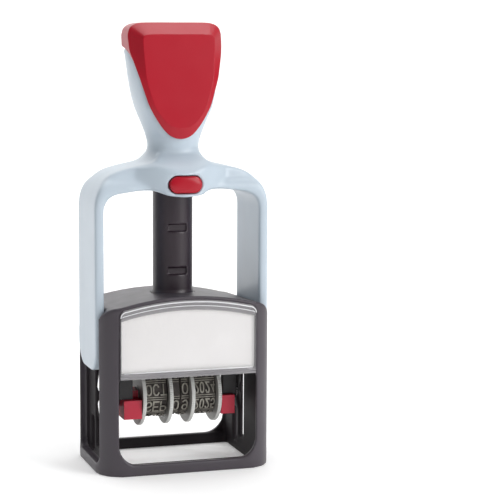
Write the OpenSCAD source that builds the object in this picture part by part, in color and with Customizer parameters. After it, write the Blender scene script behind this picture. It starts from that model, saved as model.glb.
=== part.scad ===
// Self-inking date stamp: a sprung handle pushes a turnover carrier down through the housing,
// and the carrier swings its text die from the ink pad above to the paper below.
// Origin: centre of the footprint on the table. +Z up, front towards -Y.

/* [Stamp face] */
// Width of the printed field
die_w = 45; // [40:0.5:45]
// Depth of the printed field
die_d = 30; // [26:0.5:30]

/* [Motion] */
// Travel of the handle from rest to the paper
press_travel = 31.5; // [31.5:0.1:31.8]
// Height of the carrier pivots at rest
pivot_z = 40; // [40:0.1:40.3]
// How far the lock button goes in
button_travel = 2; // [1.8:0.1:2]

/* [Housing] */
// Width of the housing
base_w = 63; // [63:0.5:64]
// Depth of the housing
base_d = 42.6; // [42.6:0.2:44]
// Radius of the housing's upright corners
base_r = 10; // [9:0.5:10]
// Height of the top of the arched cover
dome_z = 62.7; // [62.5:0.1:63]

/* [Handle] */
// Height of the top of the grip
grip_z = 157; // [156:0.5:160]
// Depth of the flat arms
arm_d = 26.6; // [25:0.2:27]
// Thickness of the flat arms
arm_t = 3.3; // [3:0.1:3.3]
// Height of the lower ends of the arms
arm_end_z = 35.3; // [35.3:0.1:35.8]

/* [Date wheels] */
// Radius of the serrated thumb rims
rim_r = 11; // [10.6:0.1:11]
// Thickness of a thumb rim
rim_t = 1.3; // [1.1:0.1:1.3]
// Number of serrations on a thumb rim
serrations = 24; // [18:1:28]

/* [Hidden] */
$fn = 64;

// clearances
slide_gap = 0.3;
running_gap = 0.05;
over = 1;

// housing
half_w = base_w / 2;
half_d = base_d / 2;
wall_in = 26;
chamber_d = 19;
bar_in = 18;
bar_z = 3.9;
seam_z = 50;
front_opening_x = 24.9;
front_opening_z = 34.2;
rear_opening_x = 25.3;
rear_opening_z = 40;
opening_r = 7;
arm_in = half_w - arm_t;
channel_in = arm_in - slide_gap;
channel_d = arm_d / 2 + 1.4;
channel_z = 3.5;
channel_r = 4;
pivot_r = 2;
pivot_slot = 2.3;
relief_y = 7.3;
relief_w = 4.6;
relief_z = 16;

// arched cover, which slopes down to the back
arch_r = 95.4;
roof_tilt = 2.8;
roof_mid_z = dome_z - half_d * tan(roof_tilt);
shoulder_r = 7;
roof_t = 2;
side_block_x = 23.4;
panel_y = 19.8;
window_y = half_d - 1;
window_x = 24.5;
card_z = 36;
card_drop = 4.6;

// column and its notches
column_r = 7.1;
column_bore = 4.8;
column_floor = 60.5;
column_top = 103;
flange_r = 8.6;
flange_z = 58;
flange_t = 1.1;
foot_z = roof_mid_z - 0.4;
foot_r = 7.7;
foot_h = 1.2;
button_z = 101;
notch_h = 2.6;
notch_w = 7;
notch_y = 5.4;
mid_notch_z = 84.85;

// carrier, measured up from the pivots when the die faces up
die_h = pivot_z - press_travel;
die_t = 1.5;
plate_t = 2;
frame_t = 2;
frame_h = die_h - die_t - plate_t - frame_t;
axle_drop = 15.5;
axle_z = pivot_z - axle_drop;
axle_r = 1.5;
leg_in = 20.5;
leg_out = 23;
ear_out = 25.3;
cam_drop = 5;
block_low = 6.9;
block_step = 0.2;
block_front = 9.5;
ear_in = 16.8;
ear_front = 7.5;
ear_back = 4.3;
cam_r = 1.5;
cam_depth = 1;
flip_per_mm = 180 / press_travel;

// wheels and bands
drum_r = 6.3;
band_t = 1.2;
band_in = drum_r + 0.1;
nose_y = 2;
nose_r = 0.8;
glyph_h = 0.6;
nose_z = pivot_z + die_h - glyph_h - band_t - nose_r;
slot_x = 15.6;
slot_y = 4.6;
month_x = [-13.75, -4.05];
tens_x = [-3.95, 0.7];
units_x = [0.8, 5.45];
year_x = [5.55, 15.35];

// ink cassette
pad_z = 50.3;
pad_t = 3.5;
tray_x = 23;
tray_z = 55.4;
tongue_x = 24.6;
tongue_z = 52.5;
tongue_t = 1.5;
pad_split = 4.3;
pad_d = 16.1;

// handle
bore_r = 7.4;
bore_top = 136;
core_top = 150;
corner_r = 13;
arm_end_r = 9;
neck_r = 9;
plug_x = 11;
rod_r = 2.4;
rod_z = 95;
rod_seat = 6;
spring_r = 4.3;
spring_wire = 0.9;
spring_turns = 20;
button_w = 11.6;
button_h = 5.9;
button_gap = 0.25;
button_y = -18.3;
pocket_y = -9.6;
button_back = pocket_y - button_travel - 0.6;
tongue_half = 3;
seat_x = 4.3;
seat_r = 1.25;
seat_d = 2;
swell_half = 20;
swell_root = 8;

// ---------- helpers ----------

// a point on a circle
function polar(r, a) = [r * cos(a), r * sin(a)];

// points of an arc about a centre
function arc(c, r, a0, a1, n) = [for (i = [0:n]) c + polar(r, a0 + (a1 - a0) * i / n)];

// both halves of an outline that is given for x >= 0, from top to bottom
function mirrored(half) = concat(half, [for (i = [len(half) - 1:-1:0]) [-half[i][0], half[i][1]]]);

// a front-view outline (x, z) made into a slab between two depths
module front_slab(y0, y1) {
    translate([0, y1, 0])
        rotate([90, 0, 0])
            linear_extrude(y1 - y0)
                children();
}

// a side-view outline (y, z) made into a slab between two widths
module side_slab(x0, x1) {
    translate([x0, 0, 0])
        rotate([90, 0, 90])
            linear_extrude(x1 - x0)
                children();
}

// a block given by its lowest and highest corners
module block(lo, hi) {
    translate(lo)
        cube(hi - lo);
}

// the same thing on the left and on the right
module both_sides() {
    children();
    mirror([1, 0, 0])
        children();
}

// a round bar along X
module bar_x(x0, x1, r, y, z) {
    translate([x0, y, z])
        rotate([0, 90, 0])
            cylinder(h = x1 - x0, r = r);
}

// a rectangle with four round corners
module round_rect(w, d, r) {
    square([w - 2 * r, d], center = true);
    square([w, d - 2 * r], center = true);
    for (x = [-1, 1], y = [-1, 1])
        translate([x * (w / 2 - r), y * (d / 2 - r)])
            circle(r);
}

// ---------- housing ----------

// outer body of the housing between two heights
module housing_block(z0, z1) {
    translate([0, 0, z0])
        linear_extrude(z1 - z0)
            round_rect(base_w, base_d, base_r);
}

// height of the arch at a distance from the middle
function arch_z(x, drop) = dome_z - drop - arch_r + sqrt(arch_r * arch_r - x * x);

// front view of the arch with its round shoulders
module arch_outline(drop, half, bottom) {
    edge = arch_z(half - shoulder_r, drop);
    centre = [half - shoulder_r, edge - shoulder_r];
    top = [for (i = [0:12]) [(half - shoulder_r) * i / 12, arch_z((half - shoulder_r) * i / 12, drop)]];
    round_part = arc(centre, shoulder_r, 90, 0, 8);
    polygon(mirrored(concat(top, round_part, [[half, bottom]])));
}

// the arch as a slab that slopes down to the back from the cover's front edge
module roof_slab(drop) {
    translate([0, -half_d, dome_z])
        rotate([-roof_tilt, 0, 0])
            translate([0, half_d, -dome_z])
                front_slab(-half_d - over, half_d + over)
                    arch_outline(drop, half_w, seam_z - 2 * over);
}

// opening with round lower corners, seen from the front
module arched_gap(half, z0, z1) {
    translate([-half, z0 + opening_r])
        square([2 * half, z1 - z0 - opening_r]);
    translate([-half + opening_r, z0])
        square([2 * (half - opening_r), opening_r + over]);
    for (s = [-1, 1])
        translate([s * (half - opening_r), z0 + opening_r])
            circle(opening_r);
}

// channels in which the arms slide, with rounded lower corners
module arm_channels(z1) {
    c = channel_d - channel_r;
    both_sides()
        side_slab(channel_in, half_w + over)
            polygon(concat([[channel_d, z1], [-channel_d, z1]],
                arc([-c, channel_z + channel_r], channel_r, 180, 270, 6),
                arc([c, channel_z + channel_r], channel_r, 270, 360, 6)));
}

// path of a cam pin's centre: it hangs below the pivot and swings up at the back
function cam_point(s) = [cam_drop * sin(s * flip_per_mm),
    pivot_z - s - cam_drop * cos(s * flip_per_mm)];

// direction square to the cam path
function cam_normal(s) = let (d = cam_point(s + 0.01) - cam_point(s - 0.01)) [-d[1], d[0]] / norm(d);

// half a circle that closes the track round one of its ends
function cam_end(s, turn) = let (n = cam_normal(s), a = atan2(n[1], n[0]) + turn)
    arc(cam_point(s), cam_r + slide_gap, a - 20, a - 160, 6);

// outline of the cam track, one side down and the other side back up
module cam_outline() {
    steps = 16;
    r = cam_r + slide_gap;
    places = [for (i = [0:steps]) press_travel * i / steps];
    one = [for (s = places) cam_point(s) + r * cam_normal(s)];
    other = [for (s = places) cam_point(press_travel - s) - r * cam_normal(press_travel - s)];
    polygon(concat(one, cam_end(press_travel, 0), other, cam_end(0, 180)));
}

// slot through the right-hand side wall, between two depths and two heights
module wall_slot(y0, y1, z0, z1) {
    block([wall_in - over, y0, z0], [channel_in + over, y1, z1]);
}

module base_frame() {
    color([0.24, 0.23, 0.24])
        difference() {
            housing_block(0, seam_z);
            // room for the carrier, open at the bottom
            block([-wall_in, -chamber_d, bar_z], [wall_in, chamber_d, seam_z + over]);
            block([-wall_in, -bar_in, -over], [wall_in, bar_in, bar_z + over]);
            // front and rear openings; the front one runs up behind the window
            front_slab(-half_d - over, -bar_in + over)
                arched_gap(front_opening_x, bar_z, seam_z + over);
            front_slab(bar_in - over, half_d + over)
                arched_gap(rear_opening_x, bar_z, seam_z + over);
            arm_channels(seam_z + over);
            // slots for the pivots, and the short slots behind them
            both_sides() {
                wall_slot(-pivot_slot, pivot_slot, die_h - pivot_slot, seam_z + over);
                wall_slot(relief_y - relief_w / 2, relief_y + relief_w / 2, channel_z, relief_z);
                side_slab(wall_in - over, wall_in + cam_depth)
                    cam_outline();
            }
        }
}

// panel that hangs from the cover down into an opening of the housing
module hanging_panel(half, y0, y1, z0) {
    block([-half, y0, z0], [half, y1, seam_z]);
}

module top_cover() {
    groove_x = tongue_x + slide_gap;
    slot_half = tray_x + slide_gap;
    color([0.27, 0.26, 0.26])
        difference() {
            union() {
                intersection() {
                    housing_block(seam_z, dome_z + over);
                    roof_slab(0);
                }
                // panel behind the card, and the panel above the rear opening
                hanging_panel(front_opening_x - 0.1, -panel_y, -chamber_d, front_opening_z);
                hanging_panel(rear_opening_x - 0.1, chamber_d, half_d, rear_opening_z);
            }
            // ink chamber under the roof
            intersection() {
                block([-side_block_x, -chamber_d, seam_z - over], [side_block_x, chamber_d, dome_z]);
                roof_slab(roof_t);
            }
            // grooves for the cassette's tongues, and the slot it comes out of
            block([-groove_x, -chamber_d, tongue_z - slide_gap],
                [groove_x, half_d + over, tongue_z + tongue_t + slide_gap]);
            block([-slot_half, chamber_d - over, seam_z], [slot_half, half_d + over, tray_z + slide_gap]);
            // recess for the card and the window
            front_slab(-half_d - over, -panel_y)
                window_outline(window_x + 0.1, front_opening_z - over);
            arm_channels(dome_z + over);
            // hole that the column stands in
            translate([0, 0, seam_z])
                cylinder(h = dome_z, r = foot_r);
        }
}

// the window's outline: upright sides under an arch that stays inside the cover's own arch
module window_outline(half, bottom) {
    rim = 1.3;
    corner = 2.5;
    top = [for (i = [0:12]) [(half - corner) * i / 12, arch_z((half - corner) * i / 12, rim)]];
    edge = arch_z(half - corner, rim);
    round_part = arc([half - corner, edge - corner], corner, 90, 0, 4);
    polygon(mirrored(concat(top, round_part, [[half, bottom]])));
}

module index_window() {
    color([0.75, 0.76, 0.78, 0.5])
        front_slab(-half_d, -window_y + 0.1)
            window_outline(window_x, front_opening_z);
}

module index_card() {
    color([0.89, 0.88, 0.87])
        front_slab(-window_y + 0.2, -panel_y)
            intersection() {
                window_outline(window_x - 0.3, card_z);
                arch_outline(card_drop, half_w, card_z - over);
            }
}

module spring_column() {
    color([0.2, 0.17, 0.18])
        difference() {
            union() {
                translate([0, 0, flange_z])
                    cylinder(h = flange_t, r = flange_r);
                translate([0, 0, flange_z])
                    cylinder(h = column_top - flange_z, r = column_r);
                // thicker foot in the roof's hole, and its flare
                translate([0, 0, flange_z])
                    cylinder(h = foot_z - flange_z, r = foot_r);
                translate([0, 0, foot_z])
                    cylinder(h = foot_h, r1 = foot_r, r2 = column_r);
            }
            translate([0, 0, column_floor])
                cylinder(h = column_top, r = column_bore);
            // notches that the lock button drops into
            for (z = [button_z - press_travel, mid_notch_z, button_z])
                block([-notch_w / 2, -column_r - over, z - notch_h / 2],
                    [notch_w / 2, -notch_y, z + notch_h / 2]);
        }
}

// ---------- handle ----------

// half of the yoke's front outline, from the top of the grip's core down to the arm's end
function yoke_outer() = concat(
    [[0, core_top], [13.5, core_top], [16.6, 147], [16.2, 143], [15.6, 138], [14.4, 131.5]],
    [[12.3, 124.5], [10.3, 119], [neck_r, 114.5]],
    arc([14, 112.8], 5, 170, 252, 6),
    arc([half_w - corner_r, 93.2], corner_r, 77, 0, 8),
    [[half_w, arm_end_z]]);

// and back up the inside, to the middle of the crossbar's underside
function yoke_inner() = concat(
    [[arm_in, arm_end_z]],
    arc([arm_in - 6, 91.8], 6, 0, 80, 6),
    [[15, 98.8], [10, 98.7], [6, 97.2], [0, 96.4]]);

module yoke_outline() {
    polygon(mirrored(concat(yoke_outer(), yoke_inner())));
}

// side outline of the arms, the crossbar and the grip
module yoke_side() {
    r = arm_end_r;
    d = arm_d / 2;
    polygon(concat(
        arc([-d + r, arm_end_z + r], r, 180, 270, 8),
        arc([d - r, arm_end_z + r], r, 270, 360, 8),
        [[d, 98]],
        arc([d - 5, 98], 5, 0, 70, 5),
        [[neck_r + 1, 107.5], [neck_r, 112], [9.2, 118], [9.6, 126], [9.6, 140], [8, core_top]],
        [[-9.5, core_top], [-11, 137], [-11, 119], [-10, 115.5], [-neck_r, 112], [-neck_r - 1, 107.5]],
        arc([-d + 5, 98], 5, 110, 180, 5)));
}

// plan outline of the swelling in the crossbar's front that holds the button
module swell_plan() {
    reach = -button_y - 0.2 - swell_root;
    front = [for (i = [-12:12]) [swell_half * i / 12, -swell_root - reach * pow(cos(7.5 * i), 1.2)]];
    polygon(concat([[swell_half, -6], [-swell_half, -6]], front));
}

// side outline of that swelling: upright at the button, then sloping back into the neck
module swell_side() {
    slope = [[-20, 104.6], [-18.1, 104.6], [-17, 106.2], [-14, 108.6], [-9.5, 111.2], [-6, 112.2]];
    polygon(concat([[-20, 95]], slope, [[-6, 95]]));
}

// where the red cap lies on the grip: the front, and the top down to a sloping line
module cap_region() {
    edge = [[-10.5, 115], [-10.3, 127], [-8.8, 137.6], [-6.2, 143.4], [-3, 146.4], [1, 148], [8, 148.8]];
    polygon(concat([[-20, 115]], edge, [[20, 149.5], [20, 170], [-20, 170]]));
}

// plug of the grip's core that the red cap is pushed onto
module cap_plug() {
    intersection() {
        block([-plug_x, -6.8, bore_top - 6], [plug_x, 5, grip_z - 6]);
        side_slab(-20, 20)
            cap_region();
    }
}

module handle_yoke() {
    color([0.72, 0.77, 0.81])
        difference() {
            union() {
                cap_plug();
                difference() {
                    intersection() {
                        front_slab(-20, 20)
                            yoke_outline();
                        side_slab(-half_w - over, half_w + over)
                            yoke_side();
                    }
                    side_slab(-20, 20)
                        cap_region();
                }
                intersection() {
                    linear_extrude(grip_z)
                        swell_plan();
                    side_slab(-20, 20)
                        swell_side();
                    front_slab(-20, 20)
                        yoke_outline();
                }
            }
            // bore that slides over the column, and the rod's socket above it
            cylinder(h = bore_top, r = bore_r);
            translate([0, 0, bore_top - over])
                cylinder(h = rod_seat + over, r = rod_r);
            // pocket of the lock button and the slot for its tongue
            front_slab(-20, pocket_y)
                translate([0, button_z])
                    oval(button_w + 2 * button_gap, button_h + 2 * button_gap);
            block([-notch_w / 2, pocket_y - over, button_z - notch_h / 2],
                [notch_w / 2, -5, button_z + notch_h / 2]);
            // blind holes of the pivot pins
            both_sides()
                bar_x(arm_in - over, half_w - 1, pivot_r, 0, pivot_z);
        }
}

// a stadium outline, as wide and high as given
module oval(w, h) {
    square([w - h, h], center = true);
    for (s = [-1, 1])
        translate([s * (w - h) / 2, 0])
            circle(h / 2);
}

// front outline of the grip with its cap
function cap_half() = concat(
    [[0, grip_z], [12.2, grip_z]],
    arc([12.5, 152.5], 4.5, 80, 5, 4),
    [[16.7, 147], [15.8, 143.4], [14.25, 137.6], [10.9, 127.4], [7.7, 122.8], [4.5, 119], [1.7, 116.6]]);

module cap_side() {
    front = [[-7.2, grip_z], [-8.4, 152.4], [-12, 120.3], [-11, 115.8]];
    polygon(concat(front, [[-6, 115.8], [6.5, 147], [6.5, 155.5], [5, grip_z]]));
}

module grip_cap() {
    color([0.73, 0.11, 0.2])
        difference() {
            intersection() {
                front_slab(-20, 20)
                    polygon(mirrored(cap_half()));
                side_slab(-20, 20)
                    cap_side();
                side_slab(-20, 20)
                    cap_region();
            }
            cap_plug();
        }
}

module spring_rod() {
    color([0.75, 0.75, 0.77]) {
        translate([0, 0, rod_z])
            cylinder(h = bore_top + rod_seat - rod_z, r = rod_r);
        // rounded tip
        translate([0, 0, rod_z])
            sphere(rod_r);
    }
}

module carrier_pivot_pins() {
    color([0.7, 0.7, 0.72])
        both_sides()
            bar_x(leg_in + 1, half_w - 1, pivot_r, 0, pivot_z);
}

// a coil of round wire standing on z0, as one closed sweep
module coil(r, wire, turns, z0, z1, per_turn, sides) {
    n = turns * per_turn;
    low = z0 + wire / 2;
    rise = z1 - z0 - wire;
    rings = [for (i = [0:n]) let (a = 360 * i / per_turn, z = low + rise * i / n)
        for (k = [0:sides - 1]) let (b = 360 * k / sides, q = r + wire / 2 * cos(b))
            [q * cos(a), q * sin(a), z + wire / 2 * sin(b)]];
    walls = [for (i = [0:n - 1], k = [0:sides - 1]) let (j = (k + 1) % sides)
        [i * sides + k, (i + 1) * sides + k, (i + 1) * sides + j, i * sides + j]];
    cap0 = [for (k = [0:sides - 1]) k];
    cap1 = [for (k = [sides - 1:-1:0]) n * sides + k];
    polyhedron(rings, concat([cap0], walls, [cap1]));
}

module return_spring() {
    color([0.72, 0.72, 0.74])
        coil(spring_r - spring_wire / 2, spring_wire, spring_turns, column_floor, bore_top, 16, 6);
}

module lock_button() {
    color([0.74, 0.1, 0.19])
        difference() {
            union() {
                front_slab(button_y, button_back)
                    translate([0, button_z])
                        oval(button_w, button_h);
                // tongue that drops into the column's notches
                block([-tongue_half, button_back - 0.5, button_z - 0.9],
                    [tongue_half, -column_r - 0.5, button_z + 0.9]);
            }
            // seats of the two springs
            for (s = [-1, 1])
                front_slab(button_back - seat_d, button_back + over)
                    translate([s * seat_x, button_z])
                        circle(seat_r);
        }
}

module button_springs() {
    color([0.72, 0.72, 0.74])
        for (s = [-1, 1])
            translate([s * seat_x, 0, button_z])
                rotate([90, 0, 0])
                    coil(0.95, 0.35, 4, -pocket_y, seat_d - button_back, 12, 6);
}

// ---------- turnover carrier ----------

module turnover_carrier() {
    base = pivot_z + frame_h;
    bar_low = axle_z + rim_r + 0.7;
    color([0.16, 0.15, 0.16])
        difference() {
            union() {
                // frame under the text plate
                block([-ear_out + 1.3, -die_d / 2, base], [ear_out - 1.3, die_d / 2, base + frame_t]);
                both_sides() {
                    // bosses round the pivots
                    bar_x(leg_in, ear_out, 4.5, 0, pivot_z);
                    // legs that carry the wheels' axle
                    block([leg_in, -4, axle_z], [leg_out, 4, base + 0.5]);
                    bar_x(leg_in, leg_out, 4, 0, axle_z);
                    // square ears between the legs and the wheels
                    block([ear_in, -ear_front, axle_z], [leg_in + over, -ear_back, bar_low - 0.2]);
                    block([leg_in, -ear_front, axle_z], [leg_in + over, 0, bar_low - 0.2]);
                }
            }
            block([-slot_x, -slot_y, base - over], [slot_x, slot_y, base + frame_t + over]);
            both_sides() {
                bar_x(leg_in + 0.5, ear_out + over, pivot_r + running_gap, 0, pivot_z);
                bar_x(leg_in - over, leg_out + over, axle_r, 0, axle_z);
                bar_x(leg_in + 0.5, ear_out + over, cam_r, 0, pivot_z - cam_drop);
            }
        }
}

module cam_pins() {
    color([0.7, 0.7, 0.72])
        both_sides()
            bar_x(leg_in + 0.5, wall_in + cam_depth - slide_gap, cam_r, 0, pivot_z - cam_drop);
}

// a plate on the carrier with the slot that the date bands come through
module slotted_plate(w, d, z0, t) {
    difference() {
        block([-w / 2, -d / 2, z0], [w / 2, d / 2, z0 + t]);
        block([-slot_x, -slot_y, z0 - over], [slot_x, slot_y, z0 + t + over]);
    }
}

module text_plate() {
    color([0.85, 0.85, 0.84])
        slotted_plate(die_w + 1, die_d + 1, pivot_z + die_h - die_t - plate_t, plate_t);
}

module text_die() {
    border = 0.8;
    relief = 0.8;
    z = pivot_z + die_h;
    w = die_w / 2;
    d = die_d / 2;
    color([0.45, 0.42, 0.4]) {
        slotted_plate(die_w, die_d, z - die_t, die_t - relief);
        // raised frame line that prints a border
        difference() {
            block([-w, -d, z - relief], [w, d, z]);
            block([-w + border, -d + border, z - die_t - over], [w - border, d - border, z + over]);
        }
    }
}

// nose inside the bands, and the bar that ties it to the legs
module band_bridge() {
    bar_low = axle_z + rim_r + 0.7;
    bar_high = pivot_z - 0.2;
    r = nose_r - running_gap;
    y = nose_y - nose_r;
    color([0.16, 0.15, 0.16]) {
        block([-leg_in, -nose_y + 0.2, bar_low], [leg_in, nose_y - 0.2, bar_high]);
        for (x = [month_x, tens_x, units_x, year_x])
            side_slab(band_left(x), band_left(x) + band_w(x))
                polygon(concat([[-y - r, bar_high - over], [y + r, bar_high - over]],
                    arc([y, nose_z], r, 0, 90, 6), arc([-y, nose_z], r, 90, 180, 6)));
    }
}

module wheel_axle() {
    color([0.78, 0.78, 0.8])
        bar_x(-leg_out - 1.2, leg_out + 1.2, axle_r, 0, axle_z);
}

module axle_clips() {
    color([0.6, 0.6, 0.62])
        both_sides()
            difference() {
                bar_x(leg_out, leg_out + 0.8, 2.8, 0, axle_z);
                bar_x(leg_out - over, leg_out + 2, axle_r, 0, axle_z);
            }
}

// a stepped block that fills the axle between a leg and the wheels
module axle_block(x0, x1) {
    back = 3;
    top = 2.3;
    cut = 1.5;
    step_y = block_step - ear_back;
    face = [[step_y, top], [step_y, -block_step], [-block_front, -block_step]];
    foot = [[-block_front, -block_low], [back - cut, -block_low], [back, cut - block_low]];
    color([0.74, 0.16, 0.25])
        difference() {
            side_slab(x0, x1)
                translate([0, axle_z])
                    polygon(concat(face, foot, [[back, top]]));
            bar_x(x0 - over, x1 + over, axle_r, 0, axle_z);
        }
}

module axle_block_left() {
    axle_block(-leg_in, month_x[0] - 0.15);
}

module axle_block_right() {
    axle_block(year_x[1] + 0.15, leg_in);
}

// ---------- bands and wheels ----------

// side outline of a band's loop: round the drum, then up over the nose
module band_loop(grow) {
    hull() {
        translate([0, axle_z])
            circle(band_in + grow);
        for (s = [-1, 1])
            translate([s * (nose_y - nose_r), nose_z])
                circle(nose_r + grow);
    }
}

// a band lies on its wheel's drum, beside the rim: the rim is on the left or on the right
function rim_on_left(x) = x[0] < -2;
function band_left(x) = rim_on_left(x) ? x[0] + rim_t + 0.15 : x[0] + 0.1;
function band_w(x) = x[1] - x[0] - rim_t - 0.3;

module band(x) {
    color([0.49, 0.48, 0.44])
        side_slab(band_left(x), band_left(x) + band_w(x))
            difference() {
                band_loop(band_t);
                band_loop(0);
            }
}

module month_band() {
    band(month_x);
}

module day_tens_band() {
    band(tens_x);
}

module day_units_band() {
    band(units_x);
}

module year_band() {
    band(year_x);
}

// a drum with a serrated thumb rim at one end
module wheel(x) {
    rim_x = rim_on_left(x) ? x[0] : x[1] - rim_t;
    tooth = 0.55;
    color([0.8, 0.8, 0.79])
        difference() {
            union() {
                bar_x(x[0], x[1], drum_r, 0, axle_z);
                side_slab(rim_x, rim_x + rim_t)
                    translate([0, axle_z])
                        polygon([for (i = [0:4 * serrations - 1])
                            polar(rim_r - (i % 4 < 2 ? 0 : tooth), 90 * i / serrations)]);
            }
            bar_x(x[0] - over, x[1] + over, axle_r + running_gap, 0, axle_z);
        }
}

module month_wheel() {
    wheel(month_x);
}

module day_tens_wheel() {
    wheel(tens_x);
}

module day_units_wheel() {
    wheel(units_x);
}

module year_wheel() {
    wheel(year_x);
}

// ---------- ink cassette ----------

module ink_cassette() {
    wall = 1.2;
    front = -chamber_d + 1.5;
    color([0.2, 0.2, 0.22])
        difference() {
            union() {
                block([-tray_x, front, pad_z], [tray_x, half_d, tray_z]);
                block([-tongue_x, front, tongue_z], [tongue_x, half_d, tongue_z + tongue_t]);
            }
            // finger recess in its back
            block([-9, half_d - 1.6, pad_z + 1.6], [9, half_d + over, tray_z - 1.4]);
            // hollow that holds the pad, open below
            block([-tray_x + wall, front + wall, pad_z - over],
                [tray_x - wall, -front - wall, pad_z + pad_t]);
        }
}

// the pad is split where the date band of colour lies
module pad(y0, y1) {
    edge = tray_x - 1.4;
    block([-edge, y0, pad_z], [edge, y1, pad_z + pad_t]);
}

module text_pad() {
    color([0.12, 0.2, 0.5]) {
        pad(-pad_d, -pad_split - 0.1);
        pad(pad_split + 0.1, pad_d);
    }
}

module date_pad() {
    color([0.65, 0.12, 0.16])
        pad(0.1 - pad_split, pad_split - 0.1);
}

base_frame();
top_cover();
spring_column();
index_window();
index_card();
handle_yoke();
grip_cap();
spring_rod();
carrier_pivot_pins();
return_spring();
lock_button();
button_springs();
turnover_carrier();
text_plate();
text_die();
band_bridge();
wheel_axle();
axle_clips();
axle_block_left();
axle_block_right();
cam_pins();
month_band();
day_tens_band();
day_units_band();
year_band();
month_wheel();
day_tens_wheel();
day_units_wheel();
year_wheel();
ink_cassette();
text_pad();
date_pad();
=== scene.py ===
"""Looks of the self-inking date stamp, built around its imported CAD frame. Metres, front towards -Y."""

import math

import bmesh
import bpy
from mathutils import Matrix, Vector


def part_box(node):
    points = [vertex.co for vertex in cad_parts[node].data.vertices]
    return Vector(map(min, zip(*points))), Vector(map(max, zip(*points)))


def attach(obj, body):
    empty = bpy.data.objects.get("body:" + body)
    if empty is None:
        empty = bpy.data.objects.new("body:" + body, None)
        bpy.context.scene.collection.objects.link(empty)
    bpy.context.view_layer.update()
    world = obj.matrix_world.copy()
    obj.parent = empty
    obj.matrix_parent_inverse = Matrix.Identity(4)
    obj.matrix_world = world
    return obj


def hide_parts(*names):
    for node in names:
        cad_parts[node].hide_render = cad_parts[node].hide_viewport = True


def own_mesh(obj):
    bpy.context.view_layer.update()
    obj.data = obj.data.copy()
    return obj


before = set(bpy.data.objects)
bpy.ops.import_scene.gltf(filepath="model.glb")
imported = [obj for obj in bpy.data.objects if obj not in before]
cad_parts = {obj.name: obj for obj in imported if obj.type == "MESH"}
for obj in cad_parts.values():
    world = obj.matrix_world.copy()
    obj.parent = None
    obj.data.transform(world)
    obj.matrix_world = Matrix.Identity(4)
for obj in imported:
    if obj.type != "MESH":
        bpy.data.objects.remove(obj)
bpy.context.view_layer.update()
MM = 0.001
PLASTIC_IOR = 1.49


# ---------- materials ----------

def srgb(r, g, b):
    """A colour given as the eye names it (0 to 255), in linear values."""
    def linear(c):
        return c / 255 / 12.92 if c <= 10 else ((c / 255 + 0.055) / 1.055) ** 2.4
    return (linear(r), linear(g), linear(b), 1.0)


def tint(colour, k):
    """The colour made lighter or darker."""
    return tuple(min(1.0, c * k) for c in colour[:3]) + (1.0,)


def new_material(name):
    """A node material with its Principled shader."""
    m = bpy.data.materials.new(name)
    m.use_nodes = True
    return m, m.node_tree, m.node_tree.nodes["Principled BSDF"]


def noise(tree, size, detail=3.0, stretch=(1, 1, 1)):
    """Noise in object space whose features are about that size, in metres."""
    place = tree.nodes.new("ShaderNodeTexCoord")
    mapping = tree.nodes.new("ShaderNodeMapping")
    mapping.inputs["Scale"].default_value = stretch
    texture = tree.nodes.new("ShaderNodeTexNoise")
    texture.inputs["Scale"].default_value = 1 / size
    texture.inputs["Detail"].default_value = detail
    tree.links.new(place.outputs["Object"], mapping.inputs["Vector"])
    tree.links.new(mapping.outputs["Vector"], texture.inputs["Vector"])
    return texture.outputs["Fac"]


def colour_by(tree, shader, fac, stops):
    """Runs the base colour through a ramp over a value."""
    node = tree.nodes.new("ShaderNodeValToRGB")
    ends = node.color_ramp.elements
    ends[0].position, ends[0].color = stops[0]
    ends[1].position, ends[1].color = stops[-1]
    for place, colour in stops[1:-1]:
        ends.new(place).color = colour
    tree.links.new(fac, node.inputs["Fac"])
    tree.links.new(node.outputs["Color"], shader.inputs["Base Color"])


def bump(tree, shader, height, strength, distance):
    """Surface relief of that depth, in metres."""
    node = tree.nodes.new("ShaderNodeBump")
    node.inputs["Strength"].default_value = strength
    node.inputs["Distance"].default_value = distance
    tree.links.new(height, node.inputs["Height"])
    tree.links.new(node.outputs["Normal"], shader.inputs["Normal"])


def roughness_by(tree, shader, fac, low, high):
    """Lets the roughness wander between two values."""
    node = tree.nodes.new("ShaderNodeMapRange")
    node.inputs["To Min"].default_value = low
    node.inputs["To Max"].default_value = high
    tree.links.new(fac, node.inputs["Value"])
    tree.links.new(node.outputs["Result"], shader.inputs["Roughness"])


def moulded(name, colour, rough, grain_depth=0.012 * MM, coat=0.0, mottle=0.04, shine=0.5):
    """Moulded plastic: slight flow mottling, a fine spark-eroded grain and handling haze."""
    m, tree, shader = new_material(name)
    flow = noise(tree, 22 * MM, 4.0, (1, 1, 0.35))
    colour_by(tree, shader, flow, [(0.3, tint(colour, 1 - mottle)), (0.7, tint(colour, 1 + mottle))])
    haze = noise(tree, 6 * MM, 5.0)
    roughness_by(tree, shader, haze, rough - 0.05, rough + 0.07)
    bump(tree, shader, noise(tree, 0.3 * MM, 2.0), 0.35, grain_depth)
    shader.inputs["Coat Weight"].default_value = coat
    shader.inputs["Coat Roughness"].default_value = 0.12
    shader.inputs["Specular IOR Level"].default_value = shine
    shader.inputs["IOR"].default_value = PLASTIC_IOR
    return m


def rubber(name, colour, dusty):
    """Moulded rubber with a dusty bloom and dried ink in patches."""
    m, tree, shader = new_material(name)
    patches = noise(tree, 2.4 * MM, 6.0)
    colour_by(tree, shader, patches, [(0.32, tint(colour, 0.75)), (0.5, colour), (0.72, dusty)])
    roughness_by(tree, shader, patches, 0.55, 0.8)
    bump(tree, shader, noise(tree, 0.3 * MM, 3.0), 0.5, 0.03 * MM)
    return m


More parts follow.
